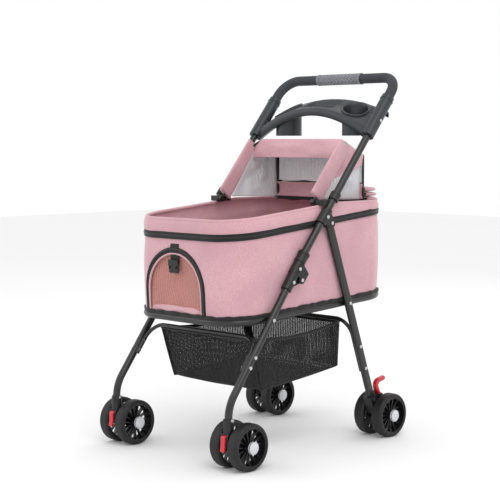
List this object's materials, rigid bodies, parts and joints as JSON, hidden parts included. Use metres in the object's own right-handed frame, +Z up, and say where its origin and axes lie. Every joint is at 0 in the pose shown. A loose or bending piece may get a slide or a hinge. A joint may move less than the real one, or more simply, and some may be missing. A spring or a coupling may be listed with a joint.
{
  "type": "pet stroller",
  "caption": "Folding pet stroller with an open soft carrier, a tilting hood, a parent tray with cup holders, a storage basket and twin swivel wheels.",
  "frame": {"origin": "centre of the footprint's box on the floor", "axes": "+Z up, +Y towards the handle, +X the stroller's left side"},
  "size_m": [0.519, 0.6756, 0.971],
  "materials": {
    "frame_steel": "satin black powder coat",
    "rivet_steel": "bright rivets and hub caps",
    "black_plastic": "moulded black plastic",
    "tray_plastic": "moulded dark grey plastic",
    "red_plastic": "red levers",
    "tyre": "foamed black tyre",
    "foam": "dark grey foam",
    "grip": "mid grey rubber",
    "pink_fabric": "pink woven fabric over foam",
    "pink_mesh": "pink-brown mesh",
    "hood_fabric": "pink fabric with clear-backed grey mesh",
    "black_fabric": "black fabric and mesh",
    "pad_fabric": "pink padded fabric",
    "board": "stiff board, hidden"
  },
  "bodies": {
    "carrier": {"seat_ring": "frame_steel", "floor_board": "board", "pad": "pad_fabric", "carrier_tub": "pink_fabric", "zip_tapes": "black_fabric", "door_mesh": "pink_mesh", "door_buckle": "black_plastic", "folded_cover": "pink_fabric"},
    "front_frame": {"front_leg_left": "frame_steel", "front_leg_right": "frame_steel", "fold_brackets_lower": "black_plastic", "front_rod": "frame_steel", "front_rivets": "rivet_steel", "storage_basket": "black_fabric", "caster_sockets": "black_plastic"},
    "caster_left": {"caster_fork_left": "black_plastic", "front_axle_left": "rivet_steel"},
    "caster_right": {"caster_fork_right": "black_plastic", "front_axle_right": "rivet_steel"},
    "swivel_lever_left": {"swivel_lock_left": "red_plastic"},
    "swivel_lever_right": {"swivel_lock_right": "red_plastic"},
    "push_frame": {"push_tube_left": "frame_steel", "push_tube_right": "frame_steel", "fold_brackets_upper": "black_plastic", "rear_leg_brackets": "black_plastic", "hood_hinges": "black_plastic", "push_rivets": "rivet_steel", "handle_bar": "frame_steel", "handle_foam": "foam", "handle_grip": "grip", "parent_tray": "tray_plastic", "hood_shell": "hood_fabric"},
    "collar_left": {"lock_collar_left": "black_plastic"},
    "collar_right": {"lock_collar_right": "black_plastic"},
    "rear_frame": {"rear_leg_left": "frame_steel", "rear_leg_right": "frame_steel", "rear_rod": "frame_steel", "rear_housings": "black_plastic", "rear_axles": "rivet_steel", "rear_rivets": "rivet_steel"},
    "pedal_left": {"brake_pedal_left": "red_plastic"},
    "pedal_right": {"brake_pedal_right": "red_plastic"},
    "hood": {"hood_bow": "frame_steel", "hood_band": "pink_fabric"},
    "wheel_front_left_outer": {"tyre_front_left_outer": "tyre", "rim_front_left_outer": "black_plastic"},
    "wheel_front_left_inner": {"tyre_front_left_inner": "tyre", "rim_front_left_inner": "black_plastic"},
    "wheel_front_right_outer": {"tyre_front_right_outer": "tyre", "rim_front_right_outer": "black_plastic"},
    "wheel_front_right_inner": {"tyre_front_right_inner": "tyre", "rim_front_right_inner": "black_plastic"},
    "wheel_rear_left_outer": {"tyre_rear_left_outer": "tyre", "rim_rear_left_outer": "black_plastic"},
    "wheel_rear_left_inner": {"tyre_rear_left_inner": "tyre", "rim_rear_left_inner": "black_plastic"},
    "wheel_rear_right_outer": {"tyre_rear_right_outer": "tyre", "rim_rear_right_outer": "black_plastic"},
    "wheel_rear_right_inner": {"tyre_rear_right_inner": "tyre", "rim_rear_right_inner": "black_plastic"}
  },
  "joints": [
    {"name": "fold", "type": "hinge", "parent": "front_frame", "child": "push_frame", "pos_m": [0, -0.07024, 0.44173], "axis": [-1, 0, 0], "range_deg": [0, 140], "deforming": ["carrier_tub", "zip_tapes", "door_mesh", "door_buckle", "folded_cover", "storage_basket", "hood_shell"]},
    {"name": "front_leg_fold", "type": "hinge", "parent": "carrier", "child": "front_frame", "pos_m": [0, -0.16906, 0.34993], "axis": [1, 0, 0], "range_deg": [0, 93]},
    {"name": "rear_leg_fold", "type": "hinge", "parent": "push_frame", "child": "rear_frame", "pos_m": [0, 0.04516, 0.57858], "axis": [1, 0, 0], "range_deg": [0, 96]},
    {"name": "hood_fold", "type": "hinge", "parent": "push_frame", "child": "hood", "pos_m": [0, 0.02624, 0.63], "axis": [1, 0, 0], "range_deg": [0, 80], "deforming": ["hood_shell"]},
    {"name": "caster_swivel_left", "type": "hinge", "parent": "front_frame", "child": "caster_left", "pos_m": [0.208, -0.31476, 0.092], "axis": [0, 0, 1], "continuous": true},
    {"name": "swivel_lock_left", "type": "hinge", "parent": "caster_left", "child": "swivel_lever_left", "pos_m": [0.208, -0.32376, 0.084], "axis": [-1, 0, 0], "range_deg": [0, 25]},
    {"name": "brake_left", "type": "hinge", "parent": "rear_frame", "child": "pedal_left", "pos_m": [0.205, 0.25224, 0.102], "axis": [-1, 0, 0], "range_deg": [0, 25]},
    {"name": "fold_lock_left", "type": "slide", "parent": "push_frame", "child": "collar_left", "axis": [0, 0.6361, 0.7716], "range_m": [0, 0.02]},
    {"name": "caster_swivel_right", "type": "hinge", "parent": "front_frame", "child": "caster_right", "pos_m": [-0.208, -0.31476, 0.092], "axis": [0, 0, 1], "continuous": true},
    {"name": "swivel_lock_right", "type": "hinge", "parent": "caster_right", "child": "swivel_lever_right", "pos_m": [-0.208, -0.32376, 0.084], "axis": [-1, 0, 0], "range_deg": [0, 25]},
    {"name": "brake_right", "type": "hinge", "parent": "rear_frame", "child": "pedal_right", "pos_m": [-0.205, 0.25224, 0.102], "axis": [-1, 0, 0], "range_deg": [0, 25]},
    {"name": "fold_lock_right", "type": "slide", "parent": "push_frame", "child": "collar_right", "axis": [0, 0.6361, 0.7716], "range_m": [0, 0.02]},
    {"name": "spin_front_left_outer", "type": "hinge", "parent": "caster_left", "child": "wheel_front_left_outer", "pos_m": [0, -0.27976, 0.058], "axis": [1, 0, 0], "continuous": true},
    {"name": "spin_front_left_inner", "type": "hinge", "parent": "caster_left", "child": "wheel_front_left_inner", "pos_m": [0, -0.27976, 0.058], "axis": [1, 0, 0], "continuous": true},
    {"name": "spin_front_right_outer", "type": "hinge", "parent": "caster_right", "child": "wheel_front_right_outer", "pos_m": [0, -0.27976, 0.058], "axis": [1, 0, 0], "continuous": true},
    {"name": "spin_front_right_inner", "type": "hinge", "parent": "caster_right", "child": "wheel_front_right_inner", "pos_m": [0, -0.27976, 0.058], "axis": [1, 0, 0], "continuous": true},
    {"name": "spin_rear_left_outer", "type": "hinge", "parent": "rear_frame", "child": "wheel_rear_left_outer", "pos_m": [0, 0.25624, 0.058], "axis": [1, 0, 0], "continuous": true},
    {"name": "spin_rear_left_inner", "type": "hinge", "parent": "rear_frame", "child": "wheel_rear_left_inner", "pos_m": [0, 0.25624, 0.058], "axis": [1, 0, 0], "continuous": true},
    {"name": "spin_rear_right_outer", "type": "hinge", "parent": "rear_frame", "child": "wheel_rear_right_outer", "pos_m": [0, 0.25624, 0.058], "axis": [1, 0, 0], "continuous": true},
    {"name": "spin_rear_right_inner", "type": "hinge", "parent": "rear_frame", "child": "wheel_rear_right_inner", "pos_m": [0, 0.25624, 0.058], "axis": [1, 0, 0], "continuous": true}
  ],
  "couplings": [
    {"joint": "front_leg_fold", "follows": "fold", "ratio": 0.66161},
    {"joint": "rear_leg_fold", "follows": "fold", "ratio": 0.67946}
  ]
}
